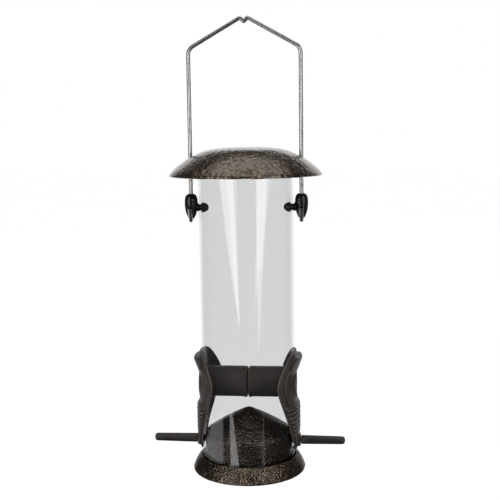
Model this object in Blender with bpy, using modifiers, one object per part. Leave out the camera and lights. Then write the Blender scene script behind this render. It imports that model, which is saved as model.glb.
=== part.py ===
"""Hanging tube feeder for seed, with feeding ports, perches and a lid that rides on its wire hanger."""

import math

import bmesh
import bpy
from mathutils import Matrix, Vector

MM = 0.001
GAP = 0.3 * MM

# Clear tube
TUBE_R = 32.5 * MM
TUBE_WALL = 1.5 * MM
TUBE_BOTTOM = 4.3 * MM
TUBE_TOP = 218.8 * MM
TUBE_STEPS = 48

# Base: foot ring, groove for the tube, skirt and seed cone in one casting
CONE_TOP = 43.5 * MM
SKIRT_R = 30.6 * MM
SKIRT_TOP = 25.4 * MM
BASE_WALL = 1.8 * MM
GROOVE_FLOOR = 4.0 * MM
FOOT_R = 39.4 * MM
FOOT_TOP = 10.6 * MM
FOOT_INNER_R = 33.4 * MM
FOOT_FLARE = [(35.3 * MM, 9.0 * MM), (37.7 * MM, 5.2 * MM), (FOOT_R, 1.2 * MM)]
FOOT_LIP = 0.5 * MM
EDGE_ROUND = 0.5 * MM

# Lid
LID_R = 52.2 * MM
LID_RIM = 206.0 * MM
LID_TOP = 225.0 * MM
LID_WALL = 1.2 * MM
LID_HOLE_R = 2.6 * MM
LID_STEPS = 48
LID_DROPS = [(0.0, 0.0), (14.0, 0.3), (27.0, 2.0), (38.5, 7.0), (47.0, 12.9), (51.2, 17.0)]

# Hanger wire and its bungs
WIRE_R = 1.4 * MM
LEG_X = 38.0 * MM
BUNG_Z = 184.0 * MM
SHOULDER_Z = 291.0 * MM
SHOULDER_BEND_R = 7.0 * MM
APEX_Z = 311.0 * MM
APEX_NOTCH = 3.4 * MM
APEX_HALF = 3.0 * MM
HOOK_BEND_R = 2.0 * MM
HOOK_BEND_Z = 177.2 * MM
HOOK_LEAN = math.radians(25)
HOOK_ARM = 7.0 * MM
BUNG_BORE_R = WIRE_R + 0.32 * MM
BUNG_HOLE_R = 2.65 * MM
BUNG_NECK_R = 2.3 * MM
BARB_R = 3.3 * MM
FLANGE_R = 3.0 * MM
FLANGE_THICK = 0.6 * MM
BARB_LENGTH = 5.0 * MM
BUNG_TOP = 193.3 * MM
BUNG_FOOT = 176.6 * MM
BUNG_SIDE = [
    (2.3 * MM, BUNG_TOP),
    (3.95 * MM, 191.6 * MM),
    (4.5 * MM, 187.6 * MM),
    (4.1 * MM, 182.4 * MM),
    (2.9 * MM, 178.6 * MM),
    (1.95 * MM, BUNG_FOOT),
]
STEM_STEPS = 14
BUNG_STEPS = 18

# Feeding ports, drawn flat and then rolled round the tube
PORT_R = TUBE_R + GAP
PORT_TOP = 85.2 * MM
PORT_BOTTOM = 12.4 * MM
PORT_EDGE = 0.5 * MM
PORT_PLATE = 1.4 * MM
PORT_CHAMFER = 3.0 * MM
FORM_START = 0.3 * MM
FEED_Z = 61.5 * MM
FEED_R = 11.2 * MM
FEED_FLARE = 2.3 * MM
TUNNEL_R = 10.3 * MM
TUNNEL_WALL = 1.6 * MM
TUNNEL_END = 0.6 * MM
TUNNEL_SLOT = 12.0 * MM
COLLAR_R = 11.9 * MM
COLLAR_START = 28.0 * MM
TUBE_PORT_HOLE_R = COLLAR_R + GAP
HOOD_TOP = 80.5 * MM
HOOD_FOOT = 70.0 * MM
HOOD_OUT = 5.1 * MM
LIP_TOP = 49.6 * MM
LIP_OUT = 3.1 * MM
LIP_BOTTOM = 16.5 * MM
RIB_COUNT = 6
RIB_PITCH = 3.1 * MM
RIB_GROOVE = 1.1 * MM
RIB_DEPTH = 0.85 * MM
RIB_START = 5.2 * MM
RIB_HALF = 17.0 * MM
RIB_TAPER = 1.9 * MM
LEAF_MIDDLE = 60.0 * MM
LEAF_SIDE = [
    (0.0, PORT_TOP),
    (13.3 * MM, 83.6 * MM),
    (22.8 * MM, 75.0 * MM),
    (28.0 * MM, 62.0 * MM),
    (22.0 * MM, 45.0 * MM),
    (13.9 * MM, 29.0 * MM),
    (7.2 * MM, 16.2 * MM),
    (0.0, PORT_BOTTOM),
]
HOOD_SIDE = [
    (0.0, HOOD_TOP + 0.5 * MM),
    (9.0 * MM, HOOD_TOP + 0.4 * MM),
    (12.0 * MM, HOOD_TOP - 1.4 * MM),
    (15.2 * MM, HOOD_FOOT + 3.5 * MM),
    (16.4 * MM, HOOD_FOOT - 0.5 * MM),
    (0.0, HOOD_FOOT - 0.5 * MM),
]
TUNNEL_STEPS = 28
WRAP_STEP = 2.9 * MM
WRAP_CUTS = 10

# Perches
PERCH_Z = 20.0 * MM
PERCH_TIP = 67.5 * MM
PERCH_ROOT = 36.9 * MM
PERCH_ROOT_R = 3.15 * MM
PERCH_TIP_R = 2.75 * MM
PIN_R = 2.25 * MM
PIN_END = 27.8 * MM
PIN_HOLE_R = PIN_R + GAP
BOSS_R = 4.6 * MM
BOSS_OUT = PERCH_ROOT - GAP - PORT_R
PERCH_STEPS = 20

# Cutters run well past the walls that they cut
REACH = 200 * MM
OVERRUN = 1.0 * MM
HOLE_STEPS = 20
PORT_HOLE_STEPS = 40
WELD = 0.01 * MM


def clear_scene():
    for obj in list(bpy.data.objects):
        bpy.data.objects.remove(obj, do_unlink=True)


def new_collection(name):
    collection = bpy.data.collections.new(name)
    bpy.context.scene.collection.children.link(collection)
    return collection


def new_material(name, colour, roughness, metallic, alpha=1.0):
    material = bpy.data.materials.new(name)
    material.use_nodes = True
    shader = material.node_tree.nodes["Principled BSDF"]
    shader.inputs["Base Color"].default_value = (*colour, 1.0)
    shader.inputs["Roughness"].default_value = roughness
    shader.inputs["Metallic"].default_value = metallic
    shader.inputs["Alpha"].default_value = alpha
    return material


def add_object(name, data, collection, material=None):
    obj = bpy.data.objects.new(name, data)
    collection.objects.link(obj)
    if material:
        data.materials.append(material)
    return obj


def mesh_from(name, bm):
    mesh = bpy.data.meshes.new(name)
    bmesh.ops.recalc_face_normals(bm, faces=bm.faces)
    bm.to_mesh(mesh)
    bm.free()
    return mesh


def as_cutter(obj):
    obj.hide_render = True
    obj.display_type = "WIRE"
    return obj


def boolean(obj, other, operation="DIFFERENCE"):
    modifier = obj.modifiers.new(other.name, "BOOLEAN")
    modifier.operation = operation
    modifier.object = other
    modifier.solver = "EXACT"


def turned(name, profile, steps, collection, material=None, closed=False):
    """A profile of (radius, height) points, run down its outer side, turned about Z."""
    mesh = bpy.data.meshes.new(name)
    points = [(radius, 0.0, height) for radius, height in profile]
    edges = [(i, i + 1) for i in range(len(points) - 1)]
    if closed:
        edges.append((len(points) - 1, 0))
    mesh.from_pydata(points, edges, [])
    obj = add_object(name, mesh, collection, material)
    screw = obj.modifiers.new("Turn", "SCREW")
    screw.steps = steps
    screw.render_steps = steps
    screw.use_merge_vertices = True
    screw.merge_threshold = 0.00001
    screw.use_smooth_shade = True
    return obj


def spline(points, per_span):
    """Points on a Catmull-Rom curve through the given 2D points."""
    ends = [2 * Vector(points[0]) - Vector(points[1])]
    ends += [Vector(p) for p in points]
    ends.append(2 * Vector(points[-1]) - Vector(points[-2]))
    curve = []
    for a, b, c, d in zip(ends, ends[1:], ends[2:], ends[3:]):
        for step in range(per_span):
            t = step / per_span
            square = (2 * a - 5 * b + 4 * c - d) * t**2
            cube = (3 * b - a - 3 * c + d) * t**3
            curve.append(0.5 * (2 * b + (c - a) * t + square + cube))
    curve.append(Vector(points[-1]))
    return [tuple(p) for p in curve]


def rod(name, radius, length, centre, axis, collection, segments=24):
    """A plain cylinder about the given axis."""
    bm = bmesh.new()
    bmesh.ops.create_cone(
        bm, cap_ends=True, segments=segments, radius1=radius, radius2=radius, depth=length
    )
    turn = Vector((0, 0, 1)).rotation_difference(Vector(axis)).to_matrix().to_4x4()
    bmesh.ops.transform(bm, matrix=Matrix.Translation(centre) @ turn, verts=bm.verts)
    return add_object(name, mesh_from(name, bm), collection)


def block(name, size, centre, collection):
    bm = bmesh.new()
    bmesh.ops.create_cube(bm, size=1.0)
    bmesh.ops.scale(bm, vec=size, verts=bm.verts)
    bmesh.ops.translate(bm, vec=centre, verts=bm.verts)
    return add_object(name, mesh_from(name, bm), collection)


def prism(name, outline, low, high, collection):
    """An outline of (y, z) points, drawn out along X from low to high."""
    bm = bmesh.new()
    face = bm.faces.new([bm.verts.new((low, y, z)) for y, z in outline])
    drawn = bmesh.ops.extrude_face_region(bm, geom=[face])
    moved = [v for v in drawn["geom"] if isinstance(v, bmesh.types.BMVert)]
    bmesh.ops.translate(bm, vec=(high - low, 0, 0), verts=moved)
    return add_object(name, mesh_from(name, bm), collection)


def side_prism(name, outline, half_width, collection):
    """An outline of (x, z) points, drawn out along Y to both sides."""
    bm = bmesh.new()
    face = bm.faces.new([bm.verts.new((x, -half_width, z)) for x, z in outline])
    drawn = bmesh.ops.extrude_face_region(bm, geom=[face])
    moved = [v for v in drawn["geom"] if isinstance(v, bmesh.types.BMVert)]
    bmesh.ops.translate(bm, vec=(0, 2 * half_width, 0), verts=moved)
    return add_object(name, mesh_from(name, bm), collection)


def mirrored(half):
    """Closes an outline of (y, z) points, given top to bottom on its +Y side."""
    other = [(-y, z) for y, z in reversed(half) if y > 0]
    return half + other


def baked(obj):
    """The object's evaluated mesh, as a mesh of its own."""
    graph = bpy.context.evaluated_depsgraph_get()
    graph.update()
    return bpy.data.meshes.new_from_object(obj.evaluated_get(graph))


# ---------------------------------------------------------------- tube


def make_tube(parts, cutters, material):
    ring = [
        (TUBE_R, TUBE_TOP),
        (TUBE_R, TUBE_BOTTOM),
        (TUBE_R - TUBE_WALL, TUBE_BOTTOM),
        (TUBE_R - TUBE_WALL, TUBE_TOP),
    ]
    tube = turned("tube", ring, TUBE_STEPS, parts, material, closed=True)
    for name, radius, height, segments in (
        ("cut_bung_holes", BUNG_HOLE_R, BUNG_Z, HOLE_STEPS),
        ("cut_port_holes", TUBE_PORT_HOLE_R, FEED_Z, PORT_HOLE_STEPS),
        ("cut_perch_holes", PIN_HOLE_R, PERCH_Z, HOLE_STEPS),
    ):
        cutter = rod(name, radius, REACH, (0, 0, height), (1, 0, 0), cutters, segments)
        boolean(tube, as_cutter(cutter))
    return tube


# ---------------------------------------------------------------- base


def base_profile():
    """Outer side from the cone's tip to the foot, then the hollow underside back to the axis."""
    groove_r = TUBE_R + GAP
    inner_r = SKIRT_R - BASE_WALL
    outer = [
        (0.0, CONE_TOP),
        (1.2 * MM, CONE_TOP - 0.3 * MM),
        (SKIRT_R - 1.4 * MM, SKIRT_TOP + 1.2 * MM),
        (SKIRT_R - 0.4 * MM, SKIRT_TOP + EDGE_ROUND),
        (SKIRT_R, SKIRT_TOP - EDGE_ROUND),
        (SKIRT_R, GROOVE_FLOOR),
        (groove_r, GROOVE_FLOOR),
        (groove_r, FOOT_TOP - EDGE_ROUND),
        (groove_r + FOOT_LIP, FOOT_TOP),
    ]
    flare = spline([(groove_r + FOOT_LIP, FOOT_TOP)] + FOOT_FLARE, 3)
    under = [
        (FOOT_R - 0.2 * MM, 0.3 * MM),
        (FOOT_R - 0.9 * MM, 0.0),
        (FOOT_INNER_R, 0.0),
        (FOOT_INNER_R - 0.8 * MM, GROOVE_FLOOR - BASE_WALL),
        (inner_r, GROOVE_FLOOR - BASE_WALL),
        (inner_r, SKIRT_TOP - 1.2 * MM),
        (0.0, CONE_TOP - 2.2 * MM),
    ]
    return outer + flare[1:] + under


def make_base(parts, cutters, material):
    base = turned("base", base_profile(), TUBE_STEPS, parts, material)
    cutter = rod("cut_pin_holes", PIN_HOLE_R, REACH, (0, 0, PERCH_Z), (1, 0, 0), cutters, HOLE_STEPS)
    boolean(base, as_cutter(cutter))
    return base


# ---------------------------------------------------------------- lid


def make_lid(parts, cutters, material):
    dome = [(radius * MM, LID_TOP - drop * MM) for radius, drop in LID_DROPS]
    lid = turned("lid", spline(dome + [(LID_R, LID_RIM)], 2), LID_STEPS, parts, material)
    shell = lid.modifiers.new("Wall", "SOLIDIFY")
    shell.thickness = LID_WALL
    shell.offset = -1.0
    for side in (-1, 1):
        centre = (side * LEG_X, 0, LID_TOP)
        hole = rod(f"cut_lid_hole_{side}", LID_HOLE_R, REACH, centre, (0, 0, 1), cutters, HOLE_STEPS)
        boolean(lid, as_cutter(hole))
    return lid


# ---------------------------------------------------------------- hanger wire


def arc(centre, radius, start, end, steps, to_point):
    """Points on an arc in a plane, turned into 3D by to_point(u, v)."""
    points = []
    for i in range(steps + 1):
        angle = start + (end - start) * i / steps
        points.append(to_point(centre[0] + radius * math.cos(angle), centre[1] + radius * math.sin(angle)))
    return points


def hook_route(x):
    """The folded end of a leg, from its tip under the bung to the leg's foot."""
    centre = (-HOOK_BEND_R, HOOK_BEND_Z)
    bend = arc(centre, HOOK_BEND_R, HOOK_LEAN - math.pi, 0.0, 7, lambda y, z: (x, y, z))
    _, y, z = bend[0]
    tip = (x, y - HOOK_ARM * math.sin(HOOK_LEAN), z + HOOK_ARM * math.cos(HOOK_LEAN))
    return [tip] + bend


def half_route():
    """The wire from its left tip to the notch at the apex."""
    slope = math.atan2(APEX_Z - SHOULDER_Z, LEG_X - APEX_HALF)
    turn = math.pi / 2 - slope
    run = SHOULDER_BEND_R * math.tan(turn / 2)
    centre = (-LEG_X + SHOULDER_BEND_R, SHOULDER_Z - run)
    bend = arc(centre, SHOULDER_BEND_R, math.pi, math.pi - turn, 5, lambda x, z: (x, 0.0, z))
    hump = (-APEX_HALF, 0.0, APEX_Z)
    return hook_route(-LEG_X) + bend + [hump]


def make_hanger(parts, material):
    left = half_route()
    notch = (0.0, 0.0, APEX_Z - APEX_NOTCH)
    right = [(-x, y, z) for x, y, z in reversed(left)]
    route = left + [notch] + right
    curve = bpy.data.curves.new("hanger_wire", "CURVE")
    curve.dimensions = "3D"
    curve.bevel_depth = WIRE_R
    curve.bevel_resolution = 2
    curve.use_fill_caps = True
    path = curve.splines.new("POLY")
    path.points.add(len(route) - 1)
    for point, (x, y, z) in zip(path.points, route):
        point.co = (x, y, z - BUNG_Z, 1.0)
    wire = add_object("hanger_wire", curve, parts, material)
    wire.location = (0, 0, BUNG_Z)
    return wire


# ---------------------------------------------------------------- bungs


def bung_profile():
    """The bung's body about its own centre, from its flat top down to its narrow foot."""
    outline = [(0.0, BUNG_TOP)] + spline(BUNG_SIDE, 2) + [(0.0, BUNG_FOOT)]
    return [(radius, height - BUNG_Z) for radius, height in outline]


def stem_profile():
    """The stem along the swing axis: neck, wall flange and barbed head, from the body inwards."""
    wall_outer = TUBE_R + GAP
    wall_inner = TUBE_R - TUBE_WALL - 2 * GAP
    body = LEG_X - BUNG_NECK_R
    return [
        (0.0, body),
        (BUNG_NECK_R, body),
        (BUNG_NECK_R, wall_outer + 1.5 * FLANGE_THICK),
        (FLANGE_R, wall_outer + FLANGE_THICK),
        (FLANGE_R, wall_outer),
        (BUNG_NECK_R, wall_outer),
        (BUNG_NECK_R, wall_inner),
        (BARB_R, wall_inner),
        (BARB_R, wall_inner - 0.2 * BARB_LENGTH),
        (BARB_R * 0.84, wall_inner - 0.56 * BARB_LENGTH),
        (BARB_R * 0.5, wall_inner - 0.85 * BARB_LENGTH),
        (0.0, wall_inner - BARB_LENGTH),
    ]


def make_bung(name, side, parts, cutters, material):
    turn = Matrix.Rotation(math.pi / 2, 4, "Y")
    if side < 0:
        turn = Matrix.Rotation(math.pi, 4, "Z") @ turn
    stem_turned = turned(f"{name}_turned", stem_profile(), STEM_STEPS, cutters)
    stem_mesh = baked(stem_turned)
    stem_mesh.transform(Matrix.Translation((0, 0, BUNG_Z)) @ turn)
    bpy.data.objects.remove(stem_turned)
    stem = as_cutter(add_object(f"{name}_stem", stem_mesh, cutters))
    bung = turned(name, bung_profile(), BUNG_STEPS, parts, material)
    bung.location = (side * LEG_X, 0, BUNG_Z)
    bore = rod(f"cut_{name}_bore", BUNG_BORE_R, REACH, bung.location, (0, 0, 1), cutters, STEM_STEPS)
    boolean(bung, stem, "UNION")
    boolean(bung, as_cutter(bore))
    return bung


# ---------------------------------------------------------------- ports


def leaf_half(shrink=0.0):
    """The port's leaf outline on its +Y side, top to bottom, pulled in by shrink."""
    pulled = []
    for y, z in LEAF_SIDE:
        away = Vector((y, z - LEAF_MIDDLE))
        pulled.append((max(0.0, y - shrink * y / away.length), z - shrink * away.y / away.length))
    return spline(pulled, 3)


def leaf_plate(parts):
    """The leaf with its wide chamfered edge, flat, its back at x = 0."""
    bm = bmesh.new()
    face = bm.faces.new([bm.verts.new((0, y, z)) for y, z in mirrored(leaf_half())])
    bmesh.ops.recalc_face_normals(bm, faces=bm.faces)
    drawn = bmesh.ops.extrude_face_region(bm, geom=[face])
    ring = [v for v in drawn["geom"] if isinstance(v, bmesh.types.BMVert)]
    bmesh.ops.translate(bm, vec=(PORT_EDGE, 0, 0), verts=ring)
    front = [f for f in drawn["geom"] if isinstance(f, bmesh.types.BMFace)]
    bmesh.ops.delete(bm, geom=front, context="FACES_ONLY")
    top = [bm.verts.new((PORT_PLATE, y, z)) for y, z in mirrored(leaf_half(PORT_CHAMFER))]
    bm.faces.new(top)
    for i in range(len(top)):
        j = (i + 1) % len(top)
        bm.faces.new((ring[i], ring[j], top[j], top[i]))
    return add_object("port_plate", mesh_from("port_plate", bm), parts)


def lip_section():
    """The lip's side view as (x, z): a rounded shelf under the feed hole, running down to the boss."""
    return [
        (FORM_START, LIP_TOP),
        (PORT_PLATE + 0.4 * MM, LIP_TOP),
        (LIP_OUT - 0.3 * MM, LIP_TOP - 1.2 * MM),
        (LIP_OUT, LIP_TOP - 3.4 * MM),
        (LIP_OUT, 28.0 * MM),
        (LIP_OUT - 0.6 * MM, LIP_BOTTOM),
        (FORM_START, LIP_BOTTOM),
    ]


def hood_section():
    """The rain hood's side view as (x, z): a ledge whose face slopes back to the feed hole."""
    return [
        (FORM_START, HOOD_TOP),
        (HOOD_OUT - 0.6 * MM, HOOD_TOP),
        (HOOD_OUT, HOOD_TOP - 0.8 * MM),
        (PORT_PLATE + 0.2 * MM, HOOD_FOOT),
        (FORM_START, HOOD_FOOT),
    ]


def lip_outline():
    """The lip's front view as (y, z): the leaf's own outline, pulled in, below the feed hole."""
    top = LIP_TOP + OVERRUN
    return mirrored([(0.0, top)] + [point for point in leaf_half(PORT_CHAMFER / 2) if point[1] < top])


def raised(name, section, outline, cutters):
    """A raised form on the leaf: its side view drawn across, kept where its front view covers it."""
    form = side_prism(name, section, REACH / 2, cutters)
    front = prism(f"{name}_outline", outline, -OVERRUN, REACH, cutters)
    boolean(form, as_cutter(front), "INTERSECT")
    return as_cutter(form)


def flat_port(cutters):
    """The whole outer moulding, still flat, as one solid."""
    plate = leaf_plate(cutters)
    lip = raised("port_lip", lip_section(), lip_outline(), cutters)
    for i in range(RIB_COUNT):
        size = (2 * RIB_DEPTH, 2 * (RIB_HALF - RIB_TAPER * i), RIB_GROOVE)
        centre = (LIP_OUT, 0, LIP_TOP - RIB_START - i * RIB_PITCH)
        boolean(lip, as_cutter(block(f"port_groove_{i}", size, centre, cutters)))
    hood = raised("port_hood", hood_section(), mirrored(HOOD_SIDE), cutters)
    boss_centre = ((BOSS_OUT + FORM_START) / 2, 0, PERCH_Z)
    boss = rod("port_boss", BOSS_R, BOSS_OUT - FORM_START, boss_centre, (1, 0, 0), cutters)
    for piece in (lip, hood, as_cutter(boss)):
        boolean(plate, piece, "UNION")
    mesh = baked(plate)
    as_cutter(plate)
    return mesh


def rolled(mesh, name):
    """Rolls a flat moulding, its back at x = 0, round the tube."""
    bm = bmesh.new()
    bm.from_mesh(mesh)
    for i in range(-WRAP_CUTS, WRAP_CUTS + 1):
        bmesh.ops.bisect_plane(
            bm,
            geom=bm.verts[:] + bm.edges[:] + bm.faces[:],
            dist=1e-7,
            plane_co=(0, (i + 0.5) * WRAP_STEP, 0),
            plane_no=(0, 1, 0),
        )
    for vert in bm.verts:
        angle = vert.co.y / PORT_R
        radius = PORT_R + vert.co.x
        vert.co.x = radius * math.cos(angle)
        vert.co.y = radius * math.sin(angle)
    bmesh.ops.remove_doubles(bm, verts=bm.verts, dist=WELD)
    return mesh_from(name, bm)


def tunnel_profile():
    """The tunnel's turned shell about X: outside from the middle of the tube out to its collar."""
    bore = TUNNEL_R - TUNNEL_WALL
    inside_plate = PORT_R + PORT_PLATE / 2
    return [
        (bore, TUNNEL_END),
        (TUNNEL_R - 2 * EDGE_ROUND, TUNNEL_END),
        (TUNNEL_R - EDGE_ROUND, TUNNEL_END + 2 * EDGE_ROUND),
        (TUNNEL_R, COLLAR_START),
        (COLLAR_R, COLLAR_START + TUNNEL_WALL),
        (COLLAR_R, inside_plate),
        (FEED_R - EDGE_ROUND, inside_plate),
        (bore, COLLAR_START - TUNNEL_WALL),
    ]


def lying(profile, name, steps, collection):
    """A profile of (radius, x) points turned about X at the feed hole's height."""
    profile = [(radius, x) for radius, x in reversed(profile)]
    obj = turned(name, profile, steps, collection, closed=True)
    mesh = baked(obj)
    mesh.transform(Matrix.Translation((0, 0, FEED_Z)) @ Matrix.Rotation(math.pi / 2, 4, "Y"))
    bpy.data.objects.remove(obj)
    return add_object(name, mesh, collection)


def feed_cutter(cutters):
    """The flared feed opening through the leaf."""
    inner = FEED_R - EDGE_ROUND
    depth = 2 * HOOD_OUT / math.sqrt(3)
    bm = bmesh.new()
    bmesh.ops.create_cone(
        bm, cap_ends=True, segments=TUNNEL_STEPS, radius1=inner, radius2=inner + FEED_FLARE, depth=depth
    )
    place = Matrix.Translation((PORT_R + depth / 2 - OVERRUN, 0, FEED_Z))
    bmesh.ops.transform(bm, matrix=place @ Matrix.Rotation(math.pi / 2, 4, "Y"), verts=bm.verts)
    return as_cutter(add_object("cut_feed", mesh_from("cut_feed", bm), cutters))


def make_ports(parts, cutters, material):
    right = add_object("port_right", rolled(flat_port(cutters), "port_right"), parts, material)
    tunnel = as_cutter(lying(tunnel_profile(), "port_tunnel", TUNNEL_STEPS, cutters))
    slot_length = COLLAR_START - 3 * TUNNEL_WALL
    slot_size = (slot_length, TUNNEL_SLOT, TUNNEL_R)
    slot = block("cut_slot", slot_size, (slot_length / 2, 0, FEED_Z - TUNNEL_R), cutters)
    pin = rod("cut_pin", PIN_HOLE_R, TUBE_R, (PORT_R, 0, PERCH_Z), (1, 0, 0), cutters, HOLE_STEPS)
    boolean(right, feed_cutter(cutters))
    boolean(right, tunnel, "UNION")
    boolean(right, as_cutter(slot))
    boolean(right, as_cutter(pin))
    left = add_object("port_left", baked(right), parts)
    left.rotation_euler = (0, 0, math.pi)
    return left, right


# ---------------------------------------------------------------- perches


def perch_profile():
    """The perch along its own axis: domed tip, tapered rod, shoulder and pin."""
    return [
        (0.0, PERCH_TIP),
        (0.5 * PERCH_TIP_R, PERCH_TIP - 0.05 * PERCH_TIP_R),
        (0.8 * PERCH_TIP_R, PERCH_TIP - 0.25 * PERCH_TIP_R),
        (PERCH_TIP_R, PERCH_TIP - 0.7 * PERCH_TIP_R),
        (PERCH_ROOT_R, PERCH_ROOT),
        (PIN_R, PERCH_ROOT),
        (PIN_R, PIN_END + EDGE_ROUND),
        (PIN_R - EDGE_ROUND, PIN_END),
        (0.0, PIN_END),
    ]


def make_perch(name, side, parts, material):
    perch = turned(name, perch_profile(), PERCH_STEPS, parts, material)
    perch.location = (0, 0, PERCH_Z)
    perch.rotation_euler = (0, side * math.pi / 2, 0)
    return perch


# ---------------------------------------------------------------- assembly


def add_empty(name, collection, location=(0, 0, 0)):
    empty = add_object(name, None, collection)
    empty.location = location
    return empty


def attach(pieces, parent):
    """Parents pieces, already placed in the world, to an unturned empty."""
    for piece in pieces:
        piece.location -= parent.location
        piece.parent = parent


def main():
    clear_scene()
    parts = new_collection("seed_tube_feeder")
    cutters = new_collection("cutters")
    clear = new_material("clear_plastic", (0.86, 0.87, 0.88), roughness=0.06, metallic=0.0, alpha=0.35)
    hammered = new_material("hammered_bronze_paint", (0.11, 0.07, 0.045), roughness=0.28, metallic=0.3)
    steel = new_material("bright_wire", (0.72, 0.72, 0.7), roughness=0.22, metallic=1.0)
    black = new_material("black_plastic", (0.012, 0.012, 0.013), roughness=0.2, metallic=0.0)
    charcoal = new_material("charcoal_plastic", (0.1, 0.088, 0.08), roughness=0.55, metallic=0.0)

    feeder = [make_tube(parts, cutters, clear), make_base(parts, cutters, hammered)]
    feeder += make_ports(parts, cutters, charcoal)
    hanger = [make_hanger(parts, steel), make_lid(parts, cutters, hammered)]
    for side_name, side in (("left", -1), ("right", 1)):
        feeder.append(make_perch(f"perch_{side_name}", side, parts, charcoal))
        hanger.append(make_bung(f"bung_{side_name}", side, parts, cutters, black))

    attach(feeder, add_empty("feeder_body", parts))
    attach(hanger, add_empty("hanger_pivot", parts, (0, 0, BUNG_Z)))


main()
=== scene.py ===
"""Finished look of a hanging seed tube feeder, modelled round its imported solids."""

import math

import bpy
from mathutils import Matrix, Vector


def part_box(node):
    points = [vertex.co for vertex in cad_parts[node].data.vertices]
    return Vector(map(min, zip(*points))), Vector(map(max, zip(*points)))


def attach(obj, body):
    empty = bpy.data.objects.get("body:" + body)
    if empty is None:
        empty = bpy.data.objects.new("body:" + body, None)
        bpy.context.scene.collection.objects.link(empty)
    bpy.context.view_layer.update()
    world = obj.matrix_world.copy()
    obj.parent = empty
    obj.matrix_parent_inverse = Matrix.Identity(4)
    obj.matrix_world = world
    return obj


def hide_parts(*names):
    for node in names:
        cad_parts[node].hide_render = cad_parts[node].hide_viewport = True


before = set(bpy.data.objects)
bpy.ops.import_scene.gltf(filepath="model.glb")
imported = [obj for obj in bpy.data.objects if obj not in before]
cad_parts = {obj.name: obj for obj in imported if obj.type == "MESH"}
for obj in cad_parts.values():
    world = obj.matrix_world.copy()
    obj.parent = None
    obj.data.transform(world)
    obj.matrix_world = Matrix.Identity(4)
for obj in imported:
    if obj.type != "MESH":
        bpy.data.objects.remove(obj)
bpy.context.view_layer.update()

bl_info = {
    "name": "Seed Tube Feeder",
    "version": (1, 0, 0),
    "blender": (4, 5, 0),
    "location": "View3D > Sidebar > Feeder",
    "description": "Models a hanging seed tube feeder with its ports, perches, lid and wire",
    "category": "Object",
}

MM = 0.001
TURN = 2 * math.pi
X_AXIS = Vector((1, 0, 0))
Z_AXIS = Vector((0, 0, 1))

TUBE_LOW, TUBE_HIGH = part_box("tube")
BASE_LOW, BASE_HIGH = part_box("base")
LID_LOW, LID_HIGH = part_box("lid")
PORT_LOW, PORT_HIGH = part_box("port_right")
PERCH_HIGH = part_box("perch_right")[1]

STAGE_REACH = 0.8
LAMP_AIM = 0.12
CAMERA_ASIDE = math.radians(-0.21)


# ---------------------------------------------------------------- settings


def length(name, description, default):
    return bpy.props.FloatProperty(
        name=name, description=description, default=default, min=0.0, unit="LENGTH", precision=5
    )


def colour(name, description, default):
    return bpy.props.FloatVectorProperty(
        name=name, description=description, default=default, size=3, min=0.0, max=1.0, subtype="COLOR"
    )


class FeederTubeSettings(bpy.types.PropertyGroup):
    radius: length("Radius", "Outside radius of the clear tube", TUBE_HIGH.x)
    wall: length("Wall", "Thickness of the tube's wall", 1.5 * MM)
    steps: bpy.props.IntProperty(name="Steps", description="Faces round the tube", default=144, min=24)
    port_hole: length("Port Hole", "Radius of the hole that a feed tunnel passes through", 12.2 * MM)
    bung_hole: length("Bung Hole", "Radius of the hole that a bung's neck sits in", 2.65 * MM)
    pin_hole: length("Pin Hole", "Radius of the hole that a perch pin passes through", 2.55 * MM)


class FeederMetalSettings(bpy.types.PropertyGroup):
    lid_wall: length("Lid Wall", "Thickness of the lid", 1.2 * MM)
    lid_hole: length("Lid Hole", "Radius of the lid's holes for the wire", 2.6 * MM)
    skirt_radius: length("Skirt Radius", "Outside radius of the base inside the tube", 30.6 * MM)
    hammer_height: length("Hammer Height", "Relief of the hammered paint", 0.26 * MM)
    hammer_size: length("Hammer Size", "Width of one dimple in the hammered paint", 2.3 * MM)
    light_tone: colour("Light Tone", "Paint where a dimple catches the light", (0.2, 0.157, 0.12))
    # The crease tone is painted shade, darker where the creases between dimples fall in shadow.
    crease_shade_tone: colour("Dark Tone", "Paint in the creases between dimples", (0.03, 0.016, 0.011))


class FeederHangerSettings(bpy.types.PropertyGroup):
    wire_radius: length("Wire Radius", "Radius of the hanger wire", 1.4 * MM)
    leg: length("Leg Offset", "Distance of each leg from the tube's axis", 38.0 * MM)
    bung_height: length("Bung Height", "Height of the bungs' axis", 184.0 * MM)
    steel_tone: colour("Steel Tone", "Colour of the bright wire", (0.62, 0.6, 0.575))
    bung_tone: colour("Bung Tone", "Colour of the glossy bungs", (0.008, 0.008, 0.009))


class FeederPortSettings(bpy.types.PropertyGroup):
    feed_height: length("Feed Height", "Height of the feed tunnel's axis", 61.5 * MM)
    rim_width: length("Rim Width", "Width of the sloped band round the leaf", 3.3 * MM)
    grain: length("Grain", "Size of the voxels that blend the moulding", 0.34 * MM)
    perch_height: length("Perch Height", "Height of the perches' axis", 20.0 * MM)
    plastic_tone: colour("Plastic Tone", "Colour of the moulded ports and perches", (0.018, 0.0145, 0.013))


class FeederStageSettings(bpy.types.PropertyGroup):
    azimuth: bpy.props.FloatProperty(
        name="Azimuth", description="Camera's turn round the feeder", default=math.radians(6), subtype="ANGLE"
    )
    pitch: bpy.props.FloatProperty(
        name="Pitch", description="How far down the camera looks", default=math.radians(7.07), subtype="ANGLE"
    )
    roll: bpy.props.FloatProperty(
        name="Roll",
        description="Camera's tilt about its own axis",
        default=math.radians(-0.75),
        subtype="ANGLE",
    )
    distance: length("Distance", "Camera's distance from the tube's axis", 0.618)
    height: length("Height", "Camera's height above the floor", 0.231)
    lens: bpy.props.FloatProperty(
        name="Lens", description="Focal length in millimetres", default=65.0, min=10.0
    )


def settings(group):
    return getattr(bpy.context.scene, f"feeder_{group}")


# ---------------------------------------------------------------- shader building


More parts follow.
